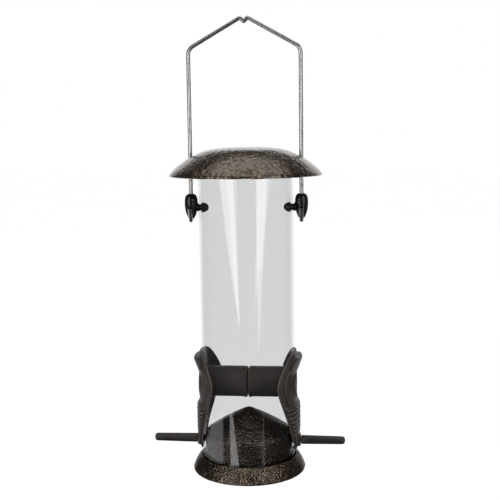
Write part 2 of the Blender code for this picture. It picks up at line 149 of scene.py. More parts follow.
class Signal:
    """A shader socket that takes part in arithmetic, adding Math nodes as it goes."""

    def __init__(self, finish, socket):
        self.finish = finish
        self.socket = socket

    def math(self, operation, *others):
        sources = dict(enumerate((self, *others)))
        return self.finish.node("ShaderNodeMath", {"operation": operation}, sources)

    def flipped(self, operation, other):
        return self.finish.node("ShaderNodeMath", {"operation": operation}, {0: other, 1: self})

    def __add__(self, other):
        return self.math("ADD", other)

    def __radd__(self, other):
        return self.flipped("ADD", other)

    def __sub__(self, other):
        return self.math("SUBTRACT", other)

    def __rsub__(self, other):
        return self.flipped("SUBTRACT", other)

    def __mul__(self, other):
        return self.math("MULTIPLY", other)

    def __rmul__(self, other):
        return self.flipped("MULTIPLY", other)

    def __pow__(self, other):
        return self.math("POWER", other)


class Finish:
    """A material, or the world, built one node at a time."""

    def __init__(self, owner):
        owner.use_nodes = True
        self.tree = owner.node_tree
        self.tree.nodes.clear()

    def node(self, kind, choices=None, sources=None, out=0):
        """Adds a node: its choices first, then the values or links of its sockets."""
        made = self.tree.nodes.new(kind)
        for key, value in (choices or {}).items():
            if key == "stops":
                set_stops(made.color_ramp, value)
            else:
                setattr(made, key, value)
        for key, value in (sources or {}).items():
            if isinstance(value, Signal):
                self.tree.links.new(value.socket, made.inputs[key])
            else:
                made.inputs[key].default_value = value
        return Signal(self, made.outputs[out]) if made.outputs else None

    def object_space(self, scale=(1, 1, 1)):
        place = self.node("ShaderNodeTexCoord", out="Object")
        return self.node("ShaderNodeMapping", None, {"Vector": place, "Scale": scale})

    def noise(self, place, scale, detail=3.0, roughness=0.5, distortion=0.0):
        sources = {"Vector": place, "Scale": scale, "Detail": detail}
        sources.update({"Roughness": roughness, "Distortion": distortion})
        return self.node("ShaderNodeTexNoise", None, sources)

    def ramp(self, factor, stops):
        return self.node("ShaderNodeValToRGB", {"stops": stops}, {"Fac": factor})

    def spread(self, value, low, high, new_low=0.0, new_high=1.0):
        """Maps a value from one range onto another, smoothly, and holds it there."""
        sources = {0: value, 1: low, 2: high, 3: new_low, 4: new_high}
        return self.node("ShaderNodeMapRange", {"interpolation_type": "SMOOTHSTEP"}, sources)

    def mixed(self, factor, first, second):
        choices = {"data_type": "RGBA"}
        return self.node("ShaderNodeMix", choices, {"Factor": factor, 6: first, 7: second}, out=2)

    def bump(self, height, distance, strength=1.0, under=None):
        sources = {"Height": height, "Distance": distance, "Strength": strength}
        if under:
            sources["Normal"] = under
        return self.node("ShaderNodeBump", None, sources)

    def principled(self, **sources):
        named = {key.replace("_", " "): value for key, value in sources.items()}
        return self.node("ShaderNodeBsdfPrincipled", None, named)

    def finish(self, surface, kind="ShaderNodeOutputMaterial"):
        self.node(kind, None, {"Surface": surface})


def set_stops(ramp, stops):
    while len(ramp.elements) > 1:
        ramp.elements.remove(ramp.elements[-1])
    position, tone = stops[0]
    ramp.elements[0].position = position
    ramp.elements[0].color = (*tone, 1)
    for position, tone in stops[1:]:
        ramp.elements.new(position).color = (*tone, 1)


def shade(tone, factor=1.0):
    return (*(min(1.0, channel * factor) for channel in tone[:3]), 1.0)


def new_material(name):
    material = bpy.data.materials.new(name)
    return material, Finish(material)


def hammered_paint(name, lift, size, depth, coat, flake_glints, edge, metal):
    """Glossy bronze-brown dimpled paint: painted crease shade, painted dark reflection patches, painted glint
    flakes.

    lift scales its tones, depth its relief, flake_glints its painted glints, and edge its shine at a glancing
    angle.
    """
    options = settings("metal")
    light = shade(options.light_tone, lift)
    painted_shade = shade(options.crease_shade_tone, lift)
    material, f = new_material(name)
    place = f.object_space()
    wander = f.node("ShaderNodeTexNoise", None, {"Vector": place, "Scale": 260.0, "Detail": 2.0}, out="Color")
    shift = {"operation": "MULTIPLY_ADD"}
    moved = f.node("ShaderNodeVectorMath", shift, {0: wander, 1: (0.0022, 0.0022, 0.0022), 2: place})
    cell = {"feature": "SMOOTH_F1"}
    dimple = {"Vector": moved, "Scale": 1 / size, "Smoothness": 0.35}
    cells = f.node("ShaderNodeTexVoronoi", cell, dimple, out="Distance")
    fine = f.noise(moved, 1150.0, detail=4.0, roughness=0.6)
    glint_cell = f.node("ShaderNodeTexVoronoi", None, {"Vector": moved, "Scale": 1500.0}, out="Distance")
    dark_reflection_patch = f.noise(place, 62.0, detail=3.0)
    # The creases between dimples are mixed toward the crease tone: painted shade.
    crease = f.spread(cells + (fine - 0.5) * 0.7, 0.42, 0.82, 0.0, 0.8)
    tone = f.mixed(crease, light, painted_shade)
    # Noise patches darkened toward the crease shade tone: painted dark reflection.
    tone = f.mixed(f.spread(dark_reflection_patch, 0.5, 0.64, 0.0, 0.75), tone, shade(painted_shade, 1.8))
    # Flakes mixed to three times the light tone: painted glints.
    tone = f.mixed(f.spread(glint_cell, 0.34, 0.48, flake_glints, 0.0), tone, shade(options.light_tone, 3.0))
    rough = f.spread(fine + crease * 0.3, 0.3, 1.0, 0.12, 0.3)
    relief = f.bump(cells * -1.0, 0.5 * MM, depth)
    relief = f.bump(fine, 0.16 * MM, depth, relief)
    paint = {"Base_Color": tone, "Roughness": rough, "Metallic": metal, "Normal": relief}
    tint = (edge, edge, edge, 1)
    f.finish(f.principled(**paint, Coat_Weight=coat, Coat_Roughness=0.06, Specular_Tint=tint))
    return material


def clear_plastic():
    """Polished clear tube with a faint grey body, fine handling marks and a little dust."""
    material, f = new_material("clear_plastic")
    place = f.object_space()
    drawn = f.object_space((1, 1, 0.02))
    streak = f.noise(drawn, 900.0, detail=2.0)
    marks = f.noise(place, 480.0, detail=5.0, roughness=0.7)
    facing = f.node("ShaderNodeLayerWeight", None, {"Blend": 0.5}, out="Facing")
    gloss = facing**5 * 0.35 + 0.042
    haze = f.spread(marks, 0.62, 0.78, 0.0, 0.018) + f.spread(streak, 0.5, 0.8, 0.0, 0.006)
    body = f.node("ShaderNodeBsdfTransparent", None, {"Color": (0.932, 0.933, 0.936, 1)})
    rough = f.spread(marks, 0.4, 0.8, 0.02, 0.07)
    mirror = f.principled(Base_Color=(0.97, 0.975, 0.985, 1), Metallic=1.0, Roughness=rough)
    f.finish(f.node("ShaderNodeMixShader", None, {0: gloss + haze, 1: body, 2: mirror}))
    return material


def moulded_plastic(name, stretch=(1, 1, 1), polish=0.0, lift=1.0):
    """Charcoal plastic with a fine eroded mould texture, faint flow marks, painted highlights on its edges
    and painted shade in its hollows.
    """
    material, f = new_material(name)
    tone = shade(settings("port").plastic_tone, lift)[:3]
    place = f.object_space(stretch)
    grain = f.noise(place, 2100.0, detail=3.0, roughness=0.6)
    flow = f.noise(place, 75.0, detail=3.0, distortion=1.2)
    scuff = f.noise(place, 420.0, detail=5.0, roughness=0.72)
    base = f.mixed(f.spread(flow, 0.32, 0.7), shade(tone, 0.82), shade(tone, 1.22))
    base = f.mixed(f.spread(scuff, 0.6, 0.76, 0.0, 0.4), base, shade(tone, 2.2))
    edge = f.node("ShaderNodeNewGeometry", out="Pointiness")
    # Convex edges are lightened to 3.2 times the tone: painted highlight. Hollows are darkened to 0.2 times
    # the tone: painted shade.
    base = f.mixed(f.spread(edge, 0.503, 0.545, 0.0, 0.8), base, shade(tone, 3.2))
    base = f.mixed(f.spread(edge, 0.44, 0.495, 0.9, 0.0), base, shade(tone, 0.2))
    rough = f.spread(scuff + (flow - 0.5) * 0.6, 0.3, 0.75, 0.36 - polish, 0.54 - polish)
    relief = f.bump(grain, 0.07 * MM, 0.55)
    relief = f.bump(flow, 0.5 * MM, 0.18, relief)
    f.finish(f.principled(Base_Color=base, Roughness=rough, Normal=relief, Specular_IOR_Level=0.5))
    return material


def bung_rubber():
    """Glossy black rubber with a few dull spots and faint mould ripple."""
    material, f = new_material("bung_rubber")
    tone = settings("hanger").bung_tone
    place = f.object_space()
    ripple = f.noise(place, 260.0, detail=2.0)
    dust = f.noise(place, 1500.0, detail=4.0, roughness=0.7)
    base = f.mixed(f.spread(dust, 0.62, 0.78, 0.0, 0.5), shade(tone), shade(tone, 6.0))
    rough = f.spread(ripple + dust * 0.4, 0.45, 0.95, 0.13, 0.32)
    relief = f.bump(ripple, 0.35 * MM, 0.25)
    f.finish(f.principled(Base_Color=base, Roughness=rough, Normal=relief, Specular_IOR_Level=0.55))
    return material


def bright_steel():
    """Bright drawn wire, with fine lines along it and a few darker stains."""
    material, f = new_material("bright_steel")
    tone = settings("hanger").steel_tone
    place = f.object_space((1, 1, 0.03))
    lines = f.noise(place, 1900.0, detail=2.0)
    stain = f.noise(f.object_space(), 130.0, detail=5.0, roughness=0.65)
    base = f.mixed(f.spread(stain, 0.45, 0.72, 0.0, 0.6), shade(tone, 1.15), shade(tone, 0.6))
    base = f.mixed(f.spread(lines, 0.55, 0.8, 0.0, 0.25), base, shade(tone, 0.6))
    rough = f.spread(stain + (lines - 0.5) * 0.4, 0.3, 0.8, 0.2, 0.34)
    relief = f.bump(stain, 0.06 * MM, 0.2)
    f.finish(f.principled(Base_Color=base, Roughness=rough, Metallic=1.0, Normal=relief))
    return material


# ---------------------------------------------------------------- modelling


def activate(piece):
    bpy.ops.object.select_all(action="DESELECT")
    piece.select_set(True)
    bpy.context.view_layer.objects.active = piece


def drawn_line(name, points, closed=False):
    """A line drawn from point to point by extruding one vertex; left in edit mode, all selected."""
    bpy.ops.object.select_all(action="DESELECT")
    bpy.ops.mesh.primitive_plane_add(size=MM)
    piece = bpy.context.object
    piece.name = name
    bpy.ops.object.mode_set(mode="EDIT")
    bpy.ops.mesh.select_all(action="SELECT")
    bpy.ops.mesh.merge(type="CENTER")
    bpy.ops.transform.translate(value=points[0])
    for here, there in zip(points, points[1:]):
        step = Vector(there) - Vector(here)
        bpy.ops.mesh.extrude_vertices_move(TRANSFORM_OT_translate={"value": step})
    if closed:
        bpy.ops.object.mode_set(mode="OBJECT")
        last = len(points) - 1
        for i, vertex in enumerate(piece.data.vertices):
            vertex.select = i in (0, last)
        bpy.ops.object.mode_set(mode="EDIT")
        bpy.ops.mesh.edge_face_add()
    bpy.ops.mesh.select_all(action="SELECT")
    return piece


def turned(name, profile, steps, axis=Z_AXIS, centre=(0, 0, 0), closed=False):
    """A profile of (radius, along) points spun about an axis through centre."""
    centre = Vector(centre)
    across = Z_AXIS if axis == X_AXIS else X_AXIS
    points = [centre + radius * across + along * axis for radius, along in profile]
    piece = drawn_line(name, points, closed)
    bpy.ops.mesh.spin(steps=steps, angle=TURN, center=centre, axis=axis)
    bpy.ops.mesh.select_all(action="SELECT")
    bpy.ops.mesh.remove_doubles(threshold=0.01 * MM)
    bpy.ops.mesh.normals_make_consistent(inside=False)
    bpy.ops.object.mode_set(mode="OBJECT")
    return piece


def slab(name, outline, thickness):
    """A closed outline, filled and extruded by a vector."""
    piece = drawn_line(name, outline, closed=True)
    bpy.ops.mesh.edge_face_add()
    bpy.ops.mesh.extrude_region_move(TRANSFORM_OT_translate={"value": thickness})
    bpy.ops.mesh.select_all(action="SELECT")
    bpy.ops.mesh.normals_make_consistent(inside=False)
    bpy.ops.object.mode_set(mode="OBJECT")
    return piece


def cylinder(name, radius, reach, centre, axis=Z_AXIS, sides=48):
    bpy.ops.object.select_all(action="DESELECT")
    turn = Z_AXIS.rotation_difference(axis).to_euler()
    bpy.ops.mesh.primitive_cylinder_add(
        vertices=sides, radius=radius, depth=reach, location=centre, rotation=turn
    )
    piece = bpy.context.object
    piece.name = name
    bpy.ops.object.transform_apply(location=True, rotation=True, scale=True)
    return piece


def modified(piece, kind, **choices):
    """Adds a modifier to a piece, sets it and applies it."""
    activate(piece)
    bpy.ops.object.modifier_add(type=kind)
    modifier = piece.modifiers[-1]
    for key, value in choices.items():
        setattr(modifier, key, value)
    bpy.ops.object.modifier_apply(modifier=modifier.name)


def combined(piece, other, operation="DIFFERENCE"):
    """Cuts or joins a piece with another, which is used up."""
    modified(piece, "BOOLEAN", operation=operation, object=other, solver="EXACT")
    bpy.data.objects.remove(other, do_unlink=True)


def joined(piece, *others):
    activate(piece)
    for other in others:
        other.select_set(True)
    bpy.ops.object.join()


def blended(piece, grain, passes=6):
    """Melts a piece's overlapping shells into one moulded skin."""
    modified(piece, "REMESH", mode="VOXEL", voxel_size=grain, adaptivity=0.0)
    modified(piece, "SMOOTH", factor=0.5, iterations=passes)


def smooth(piece, angle=35):
    activate(piece)
    bpy.ops.object.shade_smooth_by_angle(angle=math.radians(angle))


def copied(piece, name):
    other = piece.copy()
    other.data = piece.data.copy()
    other.name = name
    bpy.context.scene.collection.objects.link(other)
    return other


def half_turned(piece, name):
    """A copy with its own mesh, turned half round the tube's axis."""
    other = copied(piece, name)
    other.data.transform(Matrix.Rotation(math.pi, 4, "Z"))
    return other


def dressed(piece, material, body, slot, *nodes):
    piece.data.materials.clear()
    piece.data.materials.append(material)
    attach(piece, body)
    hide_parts(*nodes)


def spline(points, per_span):
    """Points on a Catmull-Rom curve through the given points."""
    points = [Vector(point) for point in points]
    ends = [2 * points[0] - points[1], *points, 2 * points[-1] - points[-2]]
    curve = []
    for a, b, c, d in zip(ends, ends[1:], ends[2:], ends[3:]):
        for step in range(per_span):
            t = step / per_span
            square = (2 * a - 5 * b + 4 * c - d) * t**2
            cube = (3 * b - a - 3 * c + d) * t**3
            curve.append(0.5 * (2 * b + (c - a) * t + square + cube))
    return curve + [points[-1]]


def in_mm(points):
    return [Vector(point) * MM for point in points]


def hammered(piece, height, size):
    """Raises real dimples in a dense skin, so that its outline ripples as its paint does."""
    pattern = bpy.data.textures.new("dimples", "VORONOI")
    pattern.noise_scale = size * 1.15
    pattern.distance_metric = "DISTANCE_SQUARED"
    choices = {"texture": pattern, "strength": height, "mid_level": 0.35, "texture_coords": "LOCAL"}
    modified(piece, "DISPLACE", **choices)


# ---------------------------------------------------------------- pieces


class FEEDER_OT_tube(bpy.types.Operator):
    """Models the clear tube with the holes for its bungs, ports and perch pins"""

    bl_idname = "feeder.tube"
    bl_label = "Clear Tube"

    def execute(self, context):
        options = settings("tube")
        outer = options.radius
        inner = options.radius - options.wall
        low = TUBE_LOW.z
        high = TUBE_HIGH.z
        ease = 0.25 * MM
        outside = [(outer - ease, high), (outer, high - ease)]
        outside += [(outer, level * MM) for level in (192, 176, 96, 76, 48, 27, 13)]
        outside += [(outer, low + ease), (outer - ease, low)]
        inside = [(outer + inner - radius, along) for radius, along in reversed(outside)]
        tube = turned("tube_wall", outside + inside, options.steps, closed=True)
        hanger = settings("hanger")
        port = settings("port")
        for hole, level in (
            (options.bung_hole, hanger.bung_height),
            (options.port_hole, port.feed_height),
            (options.pin_hole, port.perch_height),
        ):
            combined(tube, cylinder("hole", hole, 3 * outer, (0, 0, level), X_AXIS, 64))
        smooth(tube, 30)
        dressed(tube, clear_plastic(), "feeder", "clear_tube", "tube")
        return {"FINISHED"}


class FEEDER_OT_metal(bpy.types.Operator):
    """Models the domed lid and the flared base in hammered paint"""

    bl_idname = "feeder.metal"
    bl_label = "Lid and Base"

    def make_lid(self, options):
        high = LID_HIGH.z
        rim = LID_LOW.z
        drops = [(0, 0), (14, 0.3), (27, 2.0), (38.5, 7.0), (47, 12.9), (51.2, 17.0)]
        dome = [(radius * MM, high - drop * MM - options.hammer_height / 2) for radius, drop in drops]
        dome.append((LID_HIGH.x - 0.1 * MM, rim + 0.2 * MM))
        lid = turned("lid_dome", spline(dome, 10), 360)
        hammered(lid, options.hammer_height, options.hammer_size)
        modified(lid, "SOLIDIFY", thickness=options.lid_wall, offset=-1.0)
        for side in (-1, 1):
            centre = (side * settings("hanger").leg, 0, high)
            combined(lid, cylinder("hole", options.lid_hole, 0.2, centre))
        smooth(lid, 45)
        return lid

    def make_base(self, options):
        skirt = options.skirt_radius / MM
        groove = 32.8
        wall = 1.8
        top = BASE_HIGH.z / MM
        cone = [(0, top - 0.3), (1.4, top - 0.5), (3.2, top - 1.2)]
        for i in range(1, 25):
            swell = 0.6 * math.sin(math.pi * i / 24)
            cone.append((3.2 + (skirt - 6.2) * i / 24, top - 1.2 - (top - 29.6) * i / 24 + swell))
        edge = spline([(skirt - 1.5, 27.3), (skirt - 0.5, 26.3), (skirt, 25.0)], 4)
        wall_side = [(skirt, 24.9 - 20.9 * i / 26) for i in range(1, 27)]
        flare = spline([(groove + 0.5, 10.6), (35.3, 9.0), (37.7, 5.2), (39.4, 1.2)], 8)
        seat = [(groove, 4.0), (groove, 10.1)]
        under = [(39.2, 0.3), (38.5, 0), (33.4, 0), (32.6, 4.0 - wall), (skirt - wall, 4.0 - wall)]
        under += [(skirt - wall, 24.2), (0, top - 2.2)]
        profile = in_mm([*cone, *edge, *wall_side, *seat, *flare, *under])
        base = turned("base_casting", profile, 320)
        hammered(base, options.hammer_height * 0.8, options.hammer_size * 0.9)
        for vertex in base.data.vertices:
            vertex.co.z = max(vertex.co.z, BASE_LOW.z)
        port = settings("port")
        pin_hole = settings("tube").pin_hole
        combined(base, cylinder("hole", pin_hole, 0.2, (0, 0, port.perch_height), X_AXIS))
        smooth(base, 40)
        return base

    def execute(self, context):
        options = settings("metal")
        size = options.hammer_size
        paint = hammered_paint(
            "lid_paint", lift=0.88, size=size, depth=0.6, coat=0.6, flake_glints=0.12, edge=1.0, metal=0.85
        )
        dressed(self.make_lid(options), paint, "lid", "hammered_paint", "lid")
        # The base takes the lid's paint with its tones lifted 0.3 instead of 0.88, a darker copy: painted
        # shade.
        paint = hammered_paint(
            "base_paint", lift=0.3, size=size * 0.6, depth=0.9, coat=0.3, flake_glints=0.6, edge=0.15, metal=0.95
        )
        dressed(self.make_base(options), paint, "feeder", "hammered_paint", "base")
        return {"FINISHED"}


class FEEDER_OT_wire(bpy.types.Operator):
    """Models the bent hanger wire, with its notched peak and folded ends"""

    bl_idname = "feeder.wire"
    bl_label = "Hanger Wire"

    def execute(self, context):
        leg = settings("hanger").leg / MM
        tip = (leg, -7.1, 184.0, 0, 1.05)
        fold = [(leg, -3.3, 175.2, 1.1, 0.92), (leg, 0, 175.2, 1.3, 1.0)]
        shoulder = (leg, 0, 291, 6.5, 1.0)
        peak = (2.6, 0, 311, 0.8, 0.96)
        notch = (0, 0, 308.3, 0.5, 0.9)
        half = [tip, *fold, shoulder, peak]
        corners = half + [notch] + [(-x, y, z, bend, thin) for x, y, z, bend, thin in reversed(half)]
        route = self.rounded(corners)
        curve = bpy.data.curves.new("hanger_bail", "CURVE")
        curve.dimensions = "3D"
        curve.bevel_depth = settings("hanger").wire_radius
        curve.bevel_resolution = 8
        curve.use_fill_caps = True
        path = curve.splines.new("POLY")
        path.points.add(len(route) - 1)
        for point, (place, thin) in zip(path.points, route):
            point.co = (*(place * MM), 1)
            point.radius = thin
        wire = bpy.data.objects.new("hanger_bail", curve)
        context.scene.collection.objects.link(wire)
        activate(wire)
        bpy.ops.object.convert(target="MESH")
        modified(wire, "WELD", merge_threshold=0.005 * MM)
        smooth(wire, 50)
        dressed(wire, bright_steel(), "hanger", "bright_wire", "hanger_wire")
        return {"FINISHED"}

    def rounded(self, corners, steps=7):
        """A route through corners of (x, y, z, bend radius, thickness), each bend an arc."""
        route = []
        places = [Vector(corner[:3]) for corner in corners]
        for i, (*_, bend, thin) in enumerate(corners):
            if i in (0, len(corners) - 1) or not bend:
                route.append((places[i], thin))
                continue
            back = (places[i - 1] - places[i]).normalized()
            ahead = (places[i + 1] - places[i]).normalized()
            half = back.angle(ahead) / 2
            run = bend / math.tan(half)
            centre = places[i] + (back + ahead).normalized() * bend / math.sin(half)
            start = places[i] + back * run - centre
            end = places[i] + ahead * run - centre
            for step in range(steps + 1):
                route.append((centre + start.slerp(end, step / steps) * bend, thin))
        return route


class FEEDER_OT_bungs(bpy.types.Operator):
    """Models the bungs that hold the wire's legs to the tube"""

    bl_idname = "feeder.bungs"
    bl_label = "Bungs"

    def execute(self, context):
        options = settings("hanger")
        level = options.bung_height
        leg = options.leg
        side = [(2.3, 193.3), (3.95, 191.6), (4.55, 187.6), (4.15, 182.4), (3.0, 178.6), (1.95, 176.6)]
        egg = in_mm([(0, 193.3), *spline(side, 6), (0, 176.6)])
        body = turned("bung_right_plug", egg, 64, centre=(leg, 0, 0))
        neck = 2.25
        flange = 3.0
        head = 3.35
        stem = [(0, 36.5), (neck, 36.5), (neck, 33.9), (flange, 33.4), (flange, 32.9), (neck, 32.9)]
        stem += [(neck, 30.8), (head, 30.6), (head, 29.4), (2.85, 27.6), (1.7, 26.2), (0, 25.7)]
        stem = turned("stem", in_mm(stem), 48, X_AXIS, (0, 0, level))
        joined(body, stem)
        blended(body, 0.16 * MM, 4)
        combined(body, cylinder("bore", options.wire_radius + 0.3 * MM, 0.1, (leg, 0, level), sides=40))
        smooth(body, 40)
        material = bung_rubber()
        dressed(half_turned(body, "bung_left_plug"), material, "hanger", "black_plastic", "bung_left")
        dressed(body, material, "hanger", "black_plastic", "bung_right")
        return {"FINISHED"}


class FEEDER_OT_ports(bpy.types.Operator):
    """Models the leaf-shaped feeding ports, each moulded flat and then rolled round the tube"""

    bl_idname = "feeder.ports"
    bl_label = "Feeding Ports"

    def leaf_half(self, shrink=0.0):
        high = PORT_HIGH.z / MM
        low = PORT_LOW.z / MM
        side = [(0, high), (13.3, high - 1.6), (22.8, 75), (28.0, 62), (22.0, 45), (13.9, 29)]
        side += [(7.2, low + 3.8), (0, low)]
        middle = Vector((0, 60))
        pulled = []
        for point in side:
            point = Vector(point)
            point -= (point - middle).normalized() * shrink
            point.x = max(0.0, point.x)
            pulled.append(point)
        return spline(pulled, 6)

    def outline(self, half, depth=0.0):
        """Closes half an outline of (across, up) points and lifts it off the tube."""
        other = [Vector((-p.x, p.y)) for p in reversed(half) if p.x > 0]
        return [Vector((depth, p.x, p.y)) * MM for p in [*half, *other]]

    def leaf(self, options):
        """The leaf: a thin edge, a wide sloped band and a channel inside it."""
        piece = drawn_line("port_right_moulding", self.outline(self.leaf_half(0.3)), closed=True)
        bpy.ops.mesh.edge_face_add()
        bpy.ops.mesh.extrude_region_move(TRANSFORM_OT_translate={"value": (0.85 * MM, 0, 0)})
        bpy.ops.object.mode_set(mode="OBJECT")
        for width, rise in ((options.rim_width, 0.9 * MM), (0.7 * MM, -1.15 * MM), (1.0 * MM, 0.0)):
            self.inset_front(piece, width, rise)
        activate(piece)
        bpy.ops.object.mode_set(mode="EDIT")
        bpy.ops.mesh.select_all(action="SELECT")
        bpy.ops.mesh.normals_make_consistent(inside=False)
        bpy.ops.object.mode_set(mode="OBJECT")
        return piece

    def inset_front(self, piece, width, rise):
        """Insets the piece's outermost large face, then lifts or sinks what is inside."""
        front = max(piece.data.polygons, key=lambda face: (face.area > 1e-4, face.center.x))
        chosen = front.index
        for face in piece.data.polygons:
            face.select = face.index == chosen
        activate(piece)
        bpy.ops.object.mode_set(mode="EDIT")
        bpy.ops.mesh.select_mode(type="FACE")
        bpy.ops.mesh.inset(thickness=width)
        bpy.ops.transform.translate(value=(rise, 0, 0))
        bpy.ops.mesh.select_mode(type="VERT")
        bpy.ops.object.mode_set(mode="OBJECT")

    def raised(self, name, section, half):
        """A form on the leaf: its side view drawn right across, kept where its front view covers it."""
        reach = 80 * MM
        across = [Vector((x, -40, z)) * MM for x, z in section]
        form = slab(name, across, (0, reach, 0))
        front = slab("front", self.outline(half, -2), (reach, 0, 0))
        combined(form, front, "INTERSECT")
        return form

    def middle(self):
        """The raised middle of the leaf, which leaves the channel open round it."""
        section = [(0.3, 79), (1.3, 79), (1.6, 78.7), (1.6, 19.3), (1.3, 19), (0.3, 19)]
        return self.raised("middle", section, self.leaf_half(6.2))

    def lip(self):
        """The landing lip below the feed hole, its face cut into grip ribs."""
        top = 50.3
        out = 3.6
        groove = 1.8
        low = 16.5
        section = [(0.3, top), (1.1, top), (2.5, top - 1.9), (3.4, top - 3.6)]
        for i in range(6):
            level = 45.2 - 3.3 * i
            section += [(out, level + 0.9), (groove, level + 0.4), (groove, level - 0.4), (out, level - 0.9)]
        section += [(3.1, 27), (2.6, low), (0.3, low)]
        half = [Vector((0, top + 1))] + [p for p in self.leaf_half(1.9) if p.y < top + 1]
        return self.raised("lip", section, half)

    def hood(self):
        """The rain hood: a ledge whose face slopes back into the feed hole."""
        section = [(0.3, 80.5), (4.3, 80.9), (5.1, 80.2), (5.1, 79.4), (1.7, 69.8), (0.3, 69.8)]
        half = [(0, 81.2), (9.5, 81.0), (12.6, 79.6), (15.6, 74), (17.2, 69.4), (0, 69.4)]
        return self.raised("hood", section, [Vector(p) for p in half])

    def tunnel(self, level):
        """The round feed tunnel, open underneath for the seed."""
        shell = [(8.9, 0.5), (10.4, 0.5), (10.9, 1.0), (10.9, 28), (11.9, 29.4), (11.9, 33.6), (10.9, 33.6)]
        shell.append((8.9, 26.4))
        piece = turned("tunnel", in_mm(shell), 96, X_AXIS, (0, 0, level), True)
        slot = [(-5, 50.0), (5, 50.0), (6, 54.5), (-6, 54.5)]
        cut = slab("slot", [Vector((3, y, z)) * MM for y, z in slot], (21 * MM, 0, 0))
        combined(piece, cut)
        return piece

    def roll(self, piece):
        """Rolls a flat moulding round the tube, its back 0.3 mm off the wall."""
        wrap = TUBE_HIGH.x + 0.3 * MM
        for vertex in piece.data.vertices:
            angle = vertex.co.y / wrap
            reach = wrap + vertex.co.x
            vertex.co.x = reach * math.cos(angle)
            vertex.co.y = reach * math.sin(angle)

    def execute(self, context):
        options = settings("port")
        level = options.feed_height
        port = self.leaf(options)
        boss = cylinder("boss", 4.6 * MM, 3.5 * MM, (2.05 * MM, 0, options.perch_height), X_AXIS)
        modified(boss, "BEVEL", width=0.5 * MM, segments=3, limit_method="ANGLE")
        joined(port, self.middle(), self.lip(), self.hood(), boss)
        blended(port, options.grain, 1)
        flared = in_mm([(0, -3), (10.7, -3), (11, 1.5), (13.3, 7), (0, 7)])
        combined(port, turned("throat", flared, 64, X_AXIS, (0, 0, level)))
        self.roll(port)
        joined(port, self.tunnel(level))
        blended(port, options.grain, 2)
        pin = settings("tube").pin_hole
        combined(port, cylinder("pin", pin, 30 * MM, (34 * MM, 0, options.perch_height), X_AXIS))
        modified(port, "DECIMATE", ratio=0.4)
        smooth(port, 50)
        # The ports' plastic is the perches' plastic lifted 1.75 times, a lighter copy: painted light.
        material = moulded_plastic("port_plastic", lift=1.75)
        dressed(half_turned(port, "port_left_moulding"), material, "feeder", "charcoal_plastic", "port_left")
        dressed(port, material, "feeder", "charcoal_plastic", "port_right")
        return {"FINISHED"}


class FEEDER_OT_perches(bpy.types.Operator):
    """Models the round perches and the pins that hold them"""

    bl_idname = "feeder.perches"
    bl_label = "Perches"

    def execute(self, context):
        tip = PERCH_HIGH.x / MM
        root = 36.9
        end = [(0, tip), (1.2, tip - 0.1), (2.1, tip - 0.55), (2.6, tip - 1.3), (2.78, tip - 2.4)]
        rod = [(2.78 + 0.37 * i / 8, tip - 2.4 - (tip - 2.4 - root - 0.4) * i / 8) for i in range(1, 9)]
        pin = [(2.95, root), (2.25, root), (2.25, 28.3), (1.75, 27.8), (0, 27.8)]
        profile = in_mm([*spline(end, 3), *rod, *pin])
        level = settings("port").perch_height
        perch = turned("perch_right_rod", profile, 64, X_AXIS, (0, 0, level))
        smooth(perch, 40)
        material = moulded_plastic("perch_plastic", (0.08, 1, 1), 0.1)
        dressed(half_turned(perch, "perch_left_rod"), material, "feeder", "charcoal_plastic", "perch_left")
        dressed(perch, material, "feeder", "charcoal_plastic", "perch_right")
        return {"FINISHED"}


